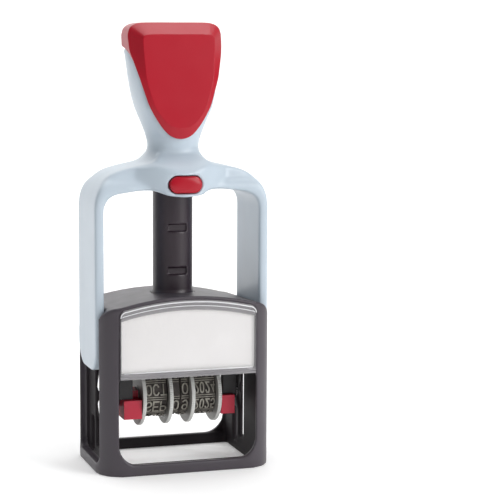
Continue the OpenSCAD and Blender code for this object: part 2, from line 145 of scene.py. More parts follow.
def felt(name, colour):
    """Ink-soaked felt: short fibres, wetter patches."""
    m, tree, shader = new_material(name)
    wet = noise(tree, 5 * MM, 4.0)
    colour_by(tree, shader, wet, [(0.35, tint(colour, 0.6)), (0.7, tint(colour, 1.25))])
    roughness_by(tree, shader, wet, 0.35, 0.85)
    bump(tree, shader, noise(tree, 0.4 * MM, 6.0, (1, 0.3, 1)), 0.9, 0.12 * MM)
    shader.inputs["Sheen Weight"].default_value = 0.3
    return m


def drawn_steel(name, colour):
    """Drawn wire and turned pins: fine scratches along X."""
    m, tree, shader = new_material(name)
    shader.inputs["Metallic"].default_value = 1.0
    scratches = noise(tree, 0.4 * MM, 3.0, (0.05, 1, 1))
    colour_by(tree, shader, scratches, [(0.3, tint(colour, 0.8)), (0.7, tint(colour, 1.1))])
    roughness_by(tree, shader, scratches, 0.18, 0.38)
    bump(tree, shader, scratches, 0.2, 0.01 * MM)
    return m


def card_stock(name, colour):
    """Smooth card with faint fibres."""
    m, tree, shader = new_material(name)
    fibres = noise(tree, 1.1 * MM, 8.0, (1, 1, 0.3))
    colour_by(tree, shader, fibres, [(0.3, tint(colour, 0.975)), (0.7, tint(colour, 1.015))])
    shader.inputs["Roughness"].default_value = 0.75
    bump(tree, shader, fibres, 0.25, 0.02 * MM)
    return m


def clear(name, colour, alpha, rough):
    """Clear moulded plastic, seen as a veil with glossy reflections."""
    m, tree, shader = new_material(name)
    waves = noise(tree, 11 * MM, 3.0)
    colour_by(tree, shader, waves, [(0.3, tint(colour, 0.92)), (0.7, tint(colour, 1.05))])
    roughness_by(tree, shader, waves, rough, rough + 0.05)
    shader.inputs["Alpha"].default_value = alpha
    shader.inputs["IOR"].default_value = PLASTIC_IOR
    bump(tree, shader, waves, 0.1, 0.02 * MM)
    return m


HANDLE = moulded("handle_plastic", srgb(188, 201, 212), 0.36, coat=0.15)
RED = moulded("red_plastic", srgb(170, 0, 30), 0.34, grain_depth=0.005 * MM, coat=0.1, shine=0.35)
BLOCK = moulded("block_plastic", srgb(196, 30, 60), 0.35)
CHARCOAL = moulded("charcoal_plastic", srgb(66, 60, 67), 0.4, grain_depth=0.02 * MM)
# painted shade: a darker, rougher copy of the charcoal for the housing's inner walls and channel floors
PAINTED_SHADE = moulded("charcoal_painted_shade", srgb(32, 27, 31), 0.6, shine=0.2)
COLUMN = moulded("column_plastic", srgb(45, 34, 42), 0.36)
BLACK = moulded("black_plastic", srgb(34, 31, 34), 0.42)
# painted shade: a darker copy of the wheel plastic for the wheels' flat faces
SHADED_WHEEL_FACE = moulded("wheel_face_painted_shade", srgb(150, 147, 143), 0.45)
WHEEL = moulded("wheel_plastic", srgb(212, 212, 209), 0.4)
PLATE = moulded("plate_plastic", srgb(214, 214, 210), 0.45)
BAND = rubber("band_rubber", srgb(66, 60, 57), srgb(90, 85, 80))
GLYPH = rubber("raised_rubber", srgb(150, 146, 136), srgb(178, 174, 163))
DIE = rubber("die_rubber", srgb(116, 104, 98), srgb(140, 130, 122))
CARD = card_stock("card", srgb(236, 233, 232))
PANE = clear("window_pane", srgb(232, 235, 238), 0.08, 0.05)
RIM = clear("window_rim", srgb(168, 166, 169), 0.55, 0.12)
# painted highlight: a near-white, nearly opaque clear plastic for the window's bright edges
GLINT = clear("window_glint", srgb(240, 241, 243), 0.9, 0.1)
STEEL = drawn_steel("steel", srgb(196, 196, 200))
BLUE_PAD = felt("blue_ink_pad", srgb(34, 52, 128))
RED_PAD = felt("red_ink_pad", srgb(160, 30, 40))


# ---------- mesh helpers ----------

WELD = 0.001 * MM


def link(name, mesh, *materials):
    """A new object from a mesh."""
    piece = bpy.data.objects.new(name, mesh)
    bpy.context.scene.collection.objects.link(piece)
    for material in materials:
        mesh.materials.append(material)
    return piece


def from_bmesh(name, bm, *materials):
    """An object from a bmesh, with its normals outwards and smooth faces."""
    bmesh.ops.recalc_face_normals(bm, faces=bm.faces)
    for face in bm.faces:
        face.smooth = True
    mesh = bpy.data.meshes.new(name)
    bm.to_mesh(mesh)
    bm.free()
    return link(name, mesh, *materials)


def bake(piece):
    """Applies the modifiers, so that the piece's own mesh is final."""
    materials = list(piece.data.materials)
    graph = bpy.context.evaluated_depsgraph_get()
    mesh = bpy.data.meshes.new_from_object(piece.evaluated_get(graph))
    piece.modifiers.clear()
    piece.data = mesh
    if not mesh.materials:
        for material in materials:
            mesh.materials.append(material)
    return piece


def edged(piece, width, angle=30, segments=3):
    """Rounds the edges that turn by more than an angle, and keeps the flats flat."""
    bevel = piece.modifiers.new("edges", "BEVEL")
    bevel.width = width
    bevel.segments = segments
    bevel.limit_method = "ANGLE"
    bevel.angle_limit = math.radians(angle)
    bevel.use_clamp_overlap = True
    piece.modifiers.new("flats", "WEIGHTED_NORMAL")
    return bake(piece)


def smoothed(piece, name, passes, group=""):
    """Adds rounds of smoothing, over the whole piece or by the weights of a vertex group."""
    soft = piece.modifiers.new(name, "SMOOTH")
    soft.factor = 0.5
    soft.iterations = passes
    soft.vertex_group = group
    return bake(piece)


def softened(name, nodes, voxel, passes, material, drop=0.0):
    """CAD nodes as one moulding with every edge rounded: a fine remesh, then smoothing. Every node after the
    first is let down a little to fuse them."""
    bm = bmesh.new()
    for i, node in enumerate(nodes):
        first = len(bm.verts)
        bm.from_mesh(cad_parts[node].data)
        bm.verts.ensure_lookup_table()
        for v in bm.verts[first:]:
            v.co.z -= drop if i else 0
    bmesh.ops.remove_doubles(bm, verts=bm.verts, dist=WELD)
    piece = from_bmesh(name, bm, material)
    grid = piece.modifiers.new("grid", "REMESH")
    grid.mode = "VOXEL"
    grid.voxel_size = voxel
    grid.use_smooth_shade = True
    return smoothed(piece, "soft", passes)


def crisp(name, node, width, material):
    """A copy of a CAD node with small rounded edges and clean flats."""
    bm = bmesh.new()
    bm.from_mesh(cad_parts[node].data)
    bmesh.ops.remove_doubles(bm, verts=bm.verts, dist=WELD)
    bmesh.ops.dissolve_limit(bm, angle_limit=math.radians(1), verts=bm.verts, edges=bm.edges)
    return edged(from_bmesh(name, bm, material), width)


def place(piece, body, slot, *nodes):
    """Fixes a piece to its body and hides the CAD nodes it stands for; the slot is not used."""
    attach(piece, body)
    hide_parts(*nodes)
    return piece


def dress(node, material):
    """Gives a CAD node that is shown as it is its material."""
    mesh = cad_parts[node].data
    mesh.materials.clear()
    mesh.materials.append(material)


def bridge(bm, loops, closed=False):
    """Walls between loops with the same number of points; closed joins the last loop to the first."""
    rings = [[bm.verts.new(p) for p in loop] for loop in loops]
    pairs = list(zip(rings, rings[1:])) + ([(rings[-1], rings[0])] if closed else [])
    faces = []
    for a, b in pairs:
        for k in range(len(a)):
            j = (k + 1) % len(a)
            faces.append(bm.faces.new((a[k], a[j], b[j], b[k])))
    return rings, faces


def tube(bm, loops):
    """Walls between loops, with a cap at each end."""
    rings, faces = bridge(bm, loops)
    bm.faces.new(rings[0])
    bm.faces.new(rings[-1])
    return faces


def ramp(value, start, length):
    """A climb from 0 at the start to 1 after that length, level before and after."""
    return min(max((value - start) / length, 0), 1)


def shares(steps):
    """From 0 to 1 in that many even steps."""
    return [i / steps for i in range(steps + 1)]


def curve_through(points, steps):
    """A smooth line through points, each stretch in that many steps (Catmull-Rom)."""
    p = [Vector(q) for q in points]
    p = [2 * p[0] - p[1]] + p + [2 * p[-1] - p[-2]]
    out = []
    for a, b, c, d in zip(p, p[1:], p[2:], p[3:]):
        for t in shares(steps)[:-1]:
            out.append(0.5 * (2 * b + (c - a) * t + (2 * a - 5 * b + 4 * c - d) * t * t
                              + (3 * b - a - 3 * c + d) * t * t * t))
    return out + [p[-2]]


def both_halves(half):
    """A closed outline from its right half, which runs from the top's middle to the bottom's middle."""
    return half + [Vector((-q.x, q.y)) for q in reversed(half[1:-1])]


# ---------- housing ----------

def make_housing():
    """The charcoal housing and its arched cover look like one moulding, with softly rounded edges."""
    piece = softened("housing", ["base_frame", "top_cover"], 0.55 * MM, 4, CHARCOAL, drop=0.1 * MM)
    # painted shade: the walls of the room inside and the floors of the arms' channels get a darker, rougher
    # copy of the charcoal for the shade that falls there; half sizes
    room_x, room_y = 26.6 * MM, 19.6 * MM
    channel_x, channel_y = 28.4 * MM, 14.9 * MM
    ceiling = 56 * MM
    piece.data.materials.append(PAINTED_SHADE)
    for face in piece.data.polygons:
        x, y, z = (abs(c) for c in face.center)
        if z < ceiling and (x < room_x and y < room_y or x < channel_x and y < channel_y):
            face.material_index = 1
    place(piece, "base", "charcoal_plastic", "base_frame", "top_cover")


def make_column():
    """The round column with its notches and the flare at its foot."""
    piece = softened("column", ["spring_column"], 0.32 * MM, 5, COLUMN)
    place(piece, "base", "column_plastic", "spring_column")


ARCH_R = 95.4 * MM


def window_loop(half, bottom, crown, corner):
    """Outline of the window or its opening: a flat foot, upright sides, round shoulders and an arch."""
    def arch(x):
        return crown - ARCH_R + math.sqrt(ARCH_R ** 2 - x * x)
    inner = half - corner
    points = [Vector((inner * t, arch(inner * t))) for t in shares(16)]
    for t in shares(6)[1:]:
        a = math.pi / 2 * (1 - t)
        points.append(Vector((inner + corner * math.cos(a), arch(inner) - corner + corner * math.sin(a))))
    side = points[-1].y
    points += [Vector((half, side + (bottom - side) * t)) for t in shares(6)[1:]]
    points += [Vector((half * (1 - t), bottom)) for t in shares(8)[1:]]
    return both_halves(points)


def bead(bm, path, radius):
    """A thin round bead along a line that runs in X and Z."""
    inwards = Vector((0, 1, 0))
    sixths = [k * math.pi / 3 for k in range(6)]
    loops = []
    for i, p in enumerate(path):
        along = (path[min(i + 1, len(path) - 1)] - path[max(i - 1, 0)]).normalized()
        across = Vector((-along.z, 0, along.x))
        loops.append([p + radius * (across * math.cos(a) + inwards * math.sin(a)) for a in sixths])
    tube(bm, loops)


def make_window():
    """Clear cover over the index card: a thin pane in a thicker, greyer rim with a stepped arch."""
    lo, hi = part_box("index_window")
    rim_side, rim_foot, rim_arch = 0.25 * MM, 2.2 * MM, 3.6 * MM
    outer = window_loop(hi.x, lo.z, hi.z, 2.5 * MM)
    opening = window_loop(hi.x - rim_side, lo.z + rim_foot, hi.z - rim_arch, 0.6 * MM)
    front, back = lo.y, hi.y
    # round the rim's section: how far in from the outer outline to the opening, as a share, and Y
    profile = [(0, back), (0, front + 0.45 * MM), (0.04, front + 0.15 * MM), (0.12, front), (0.3, front),
               (0.36, front + 0.12 * MM), (0.5, front + 0.3 * MM), (0.58, front + 0.12 * MM),
               (0.66, front + 0.08 * MM), (0.92, front + 0.2 * MM), (1, front + 0.4 * MM), (1, back)]

    def ring(t, y):
        return [(p.x + (q.x - p.x) * t, y, p.y + (q.y - p.y) * t) for p, q in zip(outer, opening)]
    bm = bmesh.new()
    bridge(bm, [ring(t, y) for t, y in profile], closed=True)
    place(from_bmesh("window_rim", bm, RIM), "base", "clear_plastic", "index_window")

    bm = bmesh.new()
    tube(bm, [ring(1, front + 0.9 * MM), ring(1, front + 0.5 * MM)])
    place(from_bmesh("window_pane", bm, PANE), "base", "clear_plastic", "index_window")

    # painted highlights: near-white beads where the moulding catches the light, two along the arch, one along
    # the foot
    bm = bmesh.new()
    arch_foot = hi.z - 5.5 * MM
    for t, y, radius in ((0.2, front, 0.22 * MM), (0.58, front + 0.12 * MM, 0.16 * MM)):
        arch = [Vector(p) for p in ring(t, y) if p[2] > arch_foot]
        arch.sort(key=lambda p: p.x)
        bead(bm, arch, radius)
    glint_y, glint_z = front + 0.35 * MM, lo.z + rim_foot + 0.1 * MM
    bead(bm, [Vector((x * MM, glint_y, glint_z)) for x in (-23.4, -12, 0, 12, 23.4)], 0.2 * MM)
    place(from_bmesh("window_glints", bm, GLINT), "base", "clear_plastic", "index_window")


# ---------- handle ----------

# sections of the neck and the grip, in millimetres: height, half width, front and back
NECK = [(106, 20, -12, 12), (108, 12.4, -10, 9.9), (110, 10.6, -9.5, 9.4), (112, 9.4, -9, 9),
        (115.5, 9.3, -10, 9.1), (119, 10.3, -10.6, 9.3), (124.5, 12.3, -10.4, 9.6), (131.5, 14.4, -9.7, 9.6),
        (138, 15.6, -8.7, 9.6), (143, 16.2, -6.4, 9.2), (147, 16.6, -2.5, 8.5), (151, 16.6, 8, 8.4)]
NECK_FOOT, NECK_TOP = 106.5, 149


def between(rows, z):
    """Row of a table at a height, where each row starts with its height."""
    for a, b in zip(rows, rows[1:]):
        if z <= b[0]:
            t = (z - a[0]) / (b[0] - a[0])
            return [p + (q - p) * t for p, q in zip(a[1:], b[1:])]
    return list(rows[-1][1:])


def soften_bend(piece):
    """Smooths the yoke's arms a little, their bend into the crossbar a lot and the neck less."""
    arms_from, bend_from, bend_over, neck_from = 48 * MM, 90 * MM, 8 * MM, 113 * MM
    arm_weight, neck_weight = 0.35, 0.4
    # left alone: the column's bore with a rim round it, and the crossbar's front this far round the button
    bore_rim, pocket_side, pocket_end, pocket_y = 8.3 * MM, 1.5 * MM, 1.2 * MM, -9 * MM
    bend = piece.vertex_groups.new(name="bend")
    lo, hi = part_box("lock_button")
    for v in piece.data.vertices:
        x, y, z = v.co
        beside = abs(x) < hi.x + pocket_side and lo.z - pocket_end < z < hi.z + pocket_end
        if z <= arms_from or math.hypot(x, y) <= bore_rim or (beside and y < pocket_y):
            continue
        weight = max(ramp(z, bend_from, bend_over), arm_weight)
        bend.add([v.index], weight if z < neck_from else neck_weight, "REPLACE")
    smoothed(piece, "bend", 45, "bend")


def round_neck(piece):
    """Turns the square section of the neck round, and leaves the grip's about a third as round. Only the
    outer skin moves."""
    for v in piece.data.vertices:
        x, y, z = (c / MM for c in v.co)
        if not NECK_FOOT < z < NECK_TOP:
            continue
        half, front, back = between(NECK, z)
        mid, deep = (front + back) / 2, max((back - front) / 2, 1)
        u, w = x / half, (y - mid) / deep
        skin = ramp(max(abs(u), abs(w)), 0.85, 0.1)
        turn = skin * ramp(z, NECK_FOOT, 7) * (1 - 0.65 * ramp(z, 117, 10)) * (1 - ramp(z, NECK_TOP - 4, 4))
        # the map that turns a square into a circle
        v.co.x += turn * x * (math.sqrt(1 - min(w * w, 1) / 2) - 1) * MM
        v.co.y += turn * (y - mid) * (math.sqrt(1 - min(u * u, 1) / 2) - 1) * MM


def make_yoke():
    """The pale blue-grey yoke: arms, crossbar, neck and grip core in one very smooth moulding."""
    piece = softened("yoke", ["handle_yoke"], 0.45 * MM, 14, HANDLE)
    soften_bend(piece)
    round_neck(piece)
    place(piece, "handle", "handle_plastic", "handle_yoke")


def prism_x(outline, half):
    """A prism along X from an outline in Y and Z, in millimetres, only used to cut others."""
    bm = bmesh.new()
    tube(bm, [[(x, y * MM, z * MM) for y, z in outline] for x in (-half, half)])
    return from_bmesh("cutter", bm)


# where the cap's bevel meets its sides, in millimetres: height and Y
CAP_SEAM = [(116.3, -11), (127.4, -10.3), (137.6, -8.8), (143.4, -6.2), (147, -4.2), (152, -2.8),
            (157, -2.5)]


def make_grip_cap():
    """The red cap: a flat, leaning shield inside a broad bevel, wrapped back over the top of the grip."""
    lo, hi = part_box("grip_cap")
    back, top = hi.y / MM, hi.z / MM
    shield_y, shield_top, shield_lean = -8.4, 152.4, 0.112
    # half outlines of the cap and of its flat shield, in millimetres: x and height
    edge = [(0, 156.8), (7, 156.8), (12, 156.7), (14.6, 156.1), (16.2, 154.9), (16.85, 153.2), (17, 151.5),
            (16.7, 147), (15.8, 143.4), (14.25, 137.6), (12.7, 132.6), (10.9, 127.4), (7.7, 121.9),
            (4.7, 118.3), (2.2, 116.8), (0, 116.4)]
    flat = [(0, 152.6), (6.4, 152.6), (10.6, 152.5), (11.9, 152.3), (12.6, 151.8), (12.9, 150.9),
            (12.95, 149.7), (12.85, 147), (12.5, 142.5), (12.1, 137.6), (10.8, 132.3), (9.1, 127.4),
            (6.6, 123.6), (4.1, 121.3), (1.9, 120.5), (0, 120.3)]
    edge, flat = (both_halves(curve_through(half, 4)) for half in (edge, flat))

    def seam(z):
        return between(CAP_SEAM, max(z, CAP_SEAM[0][0]))[0]
    bm = bmesh.new()
    tube(bm, [[(p.x * MM, (shield_y - (shield_top - p.y) * shield_lean) * MM, p.y * MM) for p in flat],
              [(p.x * MM, seam(p.y) * MM, p.y * MM) for p in edge],
              [(p.x * MM, (back + 4) * MM, p.y * MM) for p in edge]])
    piece = from_bmesh("grip_cap_shield", bm, RED)
    # seen from the side, the cap fills what is in front of the grip's core and above it
    ahead, below, above = -14, top - 45, top + 2
    side = prism_x([(ahead, below), (-10.1, below), (-9.9, 127), (-8.3, 137.6), (-5.7, 143.4), (-3, 145.8),
                    (1, 147.5), (back, 148.6), (back, top - 2), (back - 1.5, above), (ahead, above)], 25 * MM)
    cut = piece.modifiers.new("side", "BOOLEAN")
    cut.operation = "INTERSECT"
    cut.solver = "EXACT"
    cut.object = side
    bake(piece)
    bpy.data.objects.remove(side)
    place(edged(piece, 0.45 * MM, 13), "handle", "red_plastic", "grip_cap")


def make_button():
    """The red oval lock button, with a slightly domed face."""
    lo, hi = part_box("lock_button")
    mid, half_x, half_z = (lo.z + hi.z) / 2, (hi.x - lo.x) / 2, (hi.z - lo.z) / 2
    head, dome = 1.2 * MM, 0.7 * MM
    piece = softened("lock_key", ["lock_button"], 0.2 * MM, 12, RED)
    for v in piece.data.vertices:
        if v.co.y < lo.y + head:
            out = min((v.co.x / half_x) ** 2 + ((v.co.z - mid) / half_z) ** 2, 1)
            v.co.y += dome * out * out
    place(piece, "lock", "red_plastic", "lock_button")


def coil(name, starts, radius, wire, turns, length, turned, sides=10, steps=28):
    """Helical springs with closed ends that stand on their starts, along Z or, turned, along -Y."""
    bm = bmesh.new()
    # the share of the turns that lie closed at each end
    closed = 1.2 / turns
    for start in starts:
        loops = []
        for i in range(turns * steps + 1):
            t = i / (turns * steps)
            lift = wire * (ramp(t, 0, closed) + ramp(t, 1 - closed, closed))
            rise = wire / 2 + lift + ramp(t, closed, 1 - 2 * closed) * (length - 3 * wire)
            a = 2 * math.pi * i / steps
            loop = []
            for k in range(sides):
                b = 2 * math.pi * k / sides
                q = radius + wire / 2 * math.cos(b)
                p = Vector((q * math.cos(a), q * math.sin(a), rise + wire / 2 * math.sin(b)))
                loop.append(start + (Vector((p.x, -p.z, p.y)) if turned else p))
            loops.append(loop)
        tube(bm, loops)
    return from_bmesh(name, bm, STEEL)


def make_springs():
    """The press spring in the column and the two small springs behind the button."""
    lo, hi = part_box("return_spring")
    wire = 0.9 * MM
    press = coil("press_spring", [Vector((0, 0, lo.z))], hi.x - wire / 2, wire, 20, hi.z - lo.z, False)
    place(press, "base", "steel", "return_spring")
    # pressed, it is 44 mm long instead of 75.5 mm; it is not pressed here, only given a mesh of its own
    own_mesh(press)

    lo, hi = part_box("button_springs")
    wire, slack = 0.32 * MM, 0.15 * MM
    radius = (hi.z - lo.z) / 2 - wire / 2 - slack
    mid_x = hi.x - (hi.z - lo.z) / 2
    starts = [Vector((x, hi.y, (lo.z + hi.z) / 2)) for x in (-mid_x, mid_x)]
    small = coil("key_springs", starts, radius, wire, 4, hi.y - lo.y - slack, True, sides=8, steps=20)
    place(small, "handle", "steel", "button_springs")
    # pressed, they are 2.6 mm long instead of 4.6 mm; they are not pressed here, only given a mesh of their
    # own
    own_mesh(small)


# ---------- wheels ----------

TEETH = 96
RIM_T = 1.3 * MM


def make_wheel(body):
    """A drum with a finely serrated, dished thumb rim."""
    node = body + "_wheel"
    lo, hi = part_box(node)
    rim_r = (hi.y - lo.y) / 2
    axle_z = (lo.z + hi.z) / 2
    drum_r, bore, hub_r, tooth, c = 6.3 * MM, 1.55 * MM, 2.9 * MM, 0.32 * MM, 0.2 * MM
    dish, lip, slope, lead = 0.35 * MM, 2.0 * MM, 0.4 * MM, 0.5 * MM
    wide = hi.x - lo.x
    # over the rim's outer face, its edge, its inner face, the drum and the drum's end: distance along the
    # axle, radius, and how much of a tooth is cut there
    profile = [(lead, bore, 0), (0, bore + c, 0), (0, hub_r, 0), (dish, hub_r + 0.3 * MM, 0),
               (dish, rim_r - lip - slope, 0), (0, rim_r - lip, 0), (0, rim_r - c, 0.3), (c, rim_r, 1),
               (RIM_T - c, rim_r, 1), (RIM_T, rim_r - c, 0.3), (RIM_T, drum_r + c, 0),
               (RIM_T + c, drum_r, 0), (wide - c, drum_r, 0), (wide, drum_r - c, 0), (wide, bore + c, 0),
               (wide - lead, bore, 0)]
    # the two wheels on the left have their rims on the left, and the two on the right the other way round
    rim_on_left = lo.x < -2 * MM
    # how deep the points of one tooth and the gap after it are cut, all the way round
    cuts = (0, 0.5, 1, 0.5) * TEETH
    loops = []
    for along, r, depth in profile:
        x = lo.x + along if rim_on_left else hi.x - along
        loop = []
        for k, cut in enumerate(cuts):
            a = 2 * math.pi * k / len(cuts)
            q = r - depth * tooth * cut
            loop.append((x, q * math.cos(a), axle_z + q * math.sin(a)))
        loops.append(loop)
    bm = bmesh.new()
    bridge(bm, loops, closed=True)
    piece = from_bmesh(body + "_thumb_wheel", bm, WHEEL, SHADED_WHEEL_FACE)
    # painted shade: the flat faces across the axle get the darker copy of the wheel plastic
    for face in piece.data.polygons:
        face.material_index = 1 if abs(face.normal.x) > 0.8 else 0
    piece.data.set_sharp_from_angle(angle=math.radians(40))
    place(piece, body, "wheel_plastic", node)


# ---------- bands ----------

# the nose's edge radius and half its flat, the band, and the rows round it
NOSE_R = 2.0 * MM
NOSE_Y = 1.2 * MM
BAND_T = 1.2 * MM
ROWS = 13
# over the band's face: tops of the characters and of the lands, and where the feet of both are sunk in
GLYPH_H = 0.6 * MM
LAND_H = 0.42 * MM
SINK = -0.1 * MM
# the lines that a character is drawn with: height from lowest to highest, and width of a stroke
LETTER_TALL = 3.6 * MM
STROKE = 0.5 * MM

# strokes of each character in a box 0 to 1 wide and 0 to 1 tall
ROUND = [(0.5, 0), (0.15, 0.08), (0, 0.3), (0, 0.7), (0.15, 0.92), (0.5, 1), (0.85, 0.92), (1, 0.7),
         (1, 0.3), (0.85, 0.08), (0.5, 0)]
OPEN_C = [(0.98, 0.8), (0.75, 1), (0.3, 1), (0, 0.78), (0, 0.22), (0.3, 0), (0.75, 0)]
STEM_BOWL = [(0, 0), (0, 1), (0.7, 1), (1, 0.85), (1, 0.61), (0.7, 0.47), (0, 0.47)]
LOW_HOOK = [(0.97, 0.4), (0.97, 0.16), (0.7, 0), (0.3, 0), (0.03, 0.14)]
STROKES = {
    "A": [[(0, 0), (0.5, 1), (1, 0)], [(0.2, 0.34), (0.8, 0.34)]],
    "B": [STEM_BOWL, [(0.7, 0.47), (1, 0.36), (1, 0.12), (0.7, 0), (0, 0)]],
    "C": [OPEN_C + [(0.98, 0.2)]],
    "D": [[(0, 0), (0, 1), (0.6, 1), (1, 0.75), (1, 0.25), (0.6, 0), (0, 0)]],
    "E": [[(1, 1), (0, 1), (0, 0), (1, 0)], [(0, 0.52), (0.8, 0.52)]],
    "F": [[(1, 1), (0, 1), (0, 0)], [(0, 0.52), (0.8, 0.52)]],
    "G": [OPEN_C + [(1, 0.18), (1, 0.46), (0.6, 0.46)]],
    "J": [[(0.85, 1), (0.85, 0.2), (0.62, 0), (0.25, 0), (0.02, 0.2)]],
    "L": [[(0, 1), (0, 0), (0.95, 0)]],
    "M": [[(0, 0), (0, 1), (0.5, 0.35), (1, 1), (1, 0)]],
    "N": [[(0, 0), (0, 1), (1, 0), (1, 1)]],
    "O": [ROUND],
    "P": [STEM_BOWL],
    "R": [STEM_BOWL, [(0.5, 0.47), (1, 0)]],
    "S": [[(0.96, 0.84), (0.72, 1), (0.28, 1), (0.03, 0.84), (0.03, 0.64), (0.28, 0.53), (0.72, 0.47),
           (0.97, 0.36), (0.97, 0.16), (0.72, 0), (0.28, 0), (0.03, 0.16)]],
    "T": [[(0, 1), (1, 1)], [(0.5, 1), (0.5, 0)]],
    "U": [[(0, 1), (0, 0.2), (0.25, 0), (0.75, 0), (1, 0.2), (1, 1)]],
    "V": [[(0, 1), (0.5, 0), (1, 1)]],
    "Y": [[(0, 1), (0.5, 0.48), (1, 1)], [(0.5, 0.48), (0.5, 0)]],
    "0": [ROUND],
    "1": [[(0.22, 0.78), (0.55, 1), (0.55, 0)]],
    "2": [[(0.03, 0.8), (0.25, 1), (0.75, 1), (0.97, 0.82), (0.97, 0.62), (0, 0), (1, 0)]],
    "3": [[(0.05, 0.86), (0.3, 1), (0.7, 1), (0.93, 0.86), (0.93, 0.66), (0.7, 0.54), (0.35, 0.54)],
          [(0.7, 0.54)] + LOW_HOOK],
    "4": [[(0.75, 0), (0.75, 1), (0, 0.3), (1, 0.3)]],
    "5": [[(0.9, 1), (0.12, 1), (0.06, 0.56), (0.7, 0.58)] + LOW_HOOK],
    "6": [[(0.9, 0.88), (0.65, 1), (0.32, 1), (0.03, 0.72), (0.03, 0.2), (0.3, 0), (0.7, 0), (0.97, 0.16),
           (0.97, 0.42), (0.7, 0.57), (0.3, 0.57), (0.03, 0.42)]],
    "7": [[(0, 1), (1, 1), (0.35, 0)]],
    "8": [[(0.5, 0.53), (0.1, 0.66), (0.1, 0.88), (0.35, 1), (0.65, 1), (0.9, 0.88), (0.9, 0.66),
           (0.5, 0.53)],
          [(0.5, 0.53), (0.02, 0.38), (0.02, 0.14), (0.3, 0), (0.7, 0), (0.98, 0.14), (0.98, 0.38),
           (0.5, 0.53)]],
    "9": [[(0.1, 0.12), (0.35, 0), (0.68, 0), (0.97, 0.28), (0.97, 0.8), (0.7, 1), (0.3, 1), (0.03, 0.84),
           (0.03, 0.58), (0.3, 0.43), (0.7, 0.43), (0.97, 0.58)]],
}


def rows_down(k):
    """Where a row lies: so many rows from the nose down the front, or, negative, down the back."""
    return k if k <= ROWS // 2 else k - ROWS


# what each band shows, from the row on the nose down the front and round; all of it is in mirror writing
TEXTS = {
    "month": ["FEB", "JAN", "DEC", "NOV", "OCT", "SEP", "AUG", "JUL", "JUN", "MAY", "APR", "MAR", ""],
    "day_tens": ["2", "1", "0", "3", "", "0", "1", "2", "", "3", "2", "1", "0"],
    "day_units": ["4", "3", "2", "1", "0", "9", "8", "7", "6", "5", "", "", ""],
    "year": [str(2020 + rows_down(k)) for k in range(ROWS)],
}


class Loop:
    """The line that a band's outer face follows, over the nose and round the drum. Distances along it start
    at the middle of the nose and run down the front, or, negative, down the back, to half a turn each way."""

    def __init__(self, node):
        lo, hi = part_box(node)
        self.x0, self.x1 = lo.x, hi.x
        self.r = (hi.y - lo.y) / 2
        self.axle_z = lo.z + self.r
        self.nose_z = hi.z - NOSE_R
        # the band turns over the nose's edge, runs straight and meets the drum
        rise = self.nose_z - self.axle_z
        span = math.hypot(NOSE_Y, rise)
        self.turn = math.atan2(NOSE_Y, rise) + math.acos((self.r - NOSE_R) / span)
        self.straight = math.sqrt(span ** 2 - (self.r - NOSE_R) ** 2)
        self.half = NOSE_Y + NOSE_R * self.turn + self.straight + self.r * (math.pi - self.turn)

    def point(self, x, s, h):
        """The point at that place across, distance along and height above the band's face."""
        side = -1 if s >= 0 else 1
        s = abs(s)
        bend = NOSE_Y + NOSE_R * self.turn
        if s < NOSE_Y:
            a, y, z = 0.0, s, self.nose_z + NOSE_R
        elif s < bend + self.straight:
            a = min((s - NOSE_Y) / NOSE_R, self.turn)
            run = max(s - bend, 0)
            y = NOSE_Y + NOSE_R * math.sin(a) + run * math.cos(a)
            z = self.nose_z + NOSE_R * math.cos(a) - run * math.sin(a)
        else:
            a = self.turn + (s - bend - self.straight) / self.r
            y, z = self.r * math.sin(a), self.axle_z + self.r * math.cos(a)
        return Vector((x, side * (y + math.sin(a) * h), z + math.cos(a) * h))


def stroke_edges(line, reach):
    """The two edges of a stroke along a line, with mitred corners; open ends stand out by the reach."""
    p = [Vector(q) for q in line]
    closed = (p[0] - p[-1]).length < 1e-9
    if closed:
        p.pop()
    left, right = [], []
    for i, q in enumerate(p):
        before = (q - p[i - 1]).normalized() if closed or i else None
        after = (p[(i + 1) % len(p)] - q).normalized() if closed or i < len(p) - 1 else None
        shift = Vector((0, 0))
        if before is None:
            before, shift = after, -after * reach
        if after is None:
            after, shift = before, before * reach
        square = Vector((-(before.y + after.y), before.x + after.x)).normalized()
        grow = reach / max(square.dot(Vector((-after.y, after.x))), 0.5)
        left.append(q + shift + square * grow)
        right.append(q + shift - square * grow)
    return left, right, closed


def raise_stroke(bm, loop, line):
    """One raised stroke on a band: sloping walls and a lighter top."""
    slope = 0.1 * MM
    foot_left, foot_right, closed = stroke_edges(line, STROKE / 2 + slope)
    top_left, top_right, _ = stroke_edges(line, STROKE / 2)
    edges = ((foot_left, SINK), (top_left, GLYPH_H), (top_right, GLYPH_H), (foot_right, SINK))
    sections = list(zip(*([loop.point(p.x, p.y, h) for p in edge] for edge, h in edges)))
    faces = bridge(bm, sections, closed=True)[1] if closed else tube(bm, sections)
    for face in faces[1::4]:
        face.material_index = 1


def raise_land(bm, loop, s0, s1):
    """Half of the land between two rows, as a low bar across the band."""
    inset, margin = 0.12 * MM, 0.1 * MM
    x0, x1 = loop.x0 + margin, loop.x1 - margin
    sections = []
    for t in (0, 0.5, 1):
        foot, head = s0 + (s1 - s0) * t, s0 + inset + (s1 - s0 - 2 * inset) * t
        sections.append([loop.point(x0, foot, SINK), loop.point(x0 + inset, head, LAND_H),
                         loop.point(x1 - inset, head, LAND_H), loop.point(x1, foot, SINK)])
    for face in tube(bm, sections)[1::4]:
        face.material_index = 1


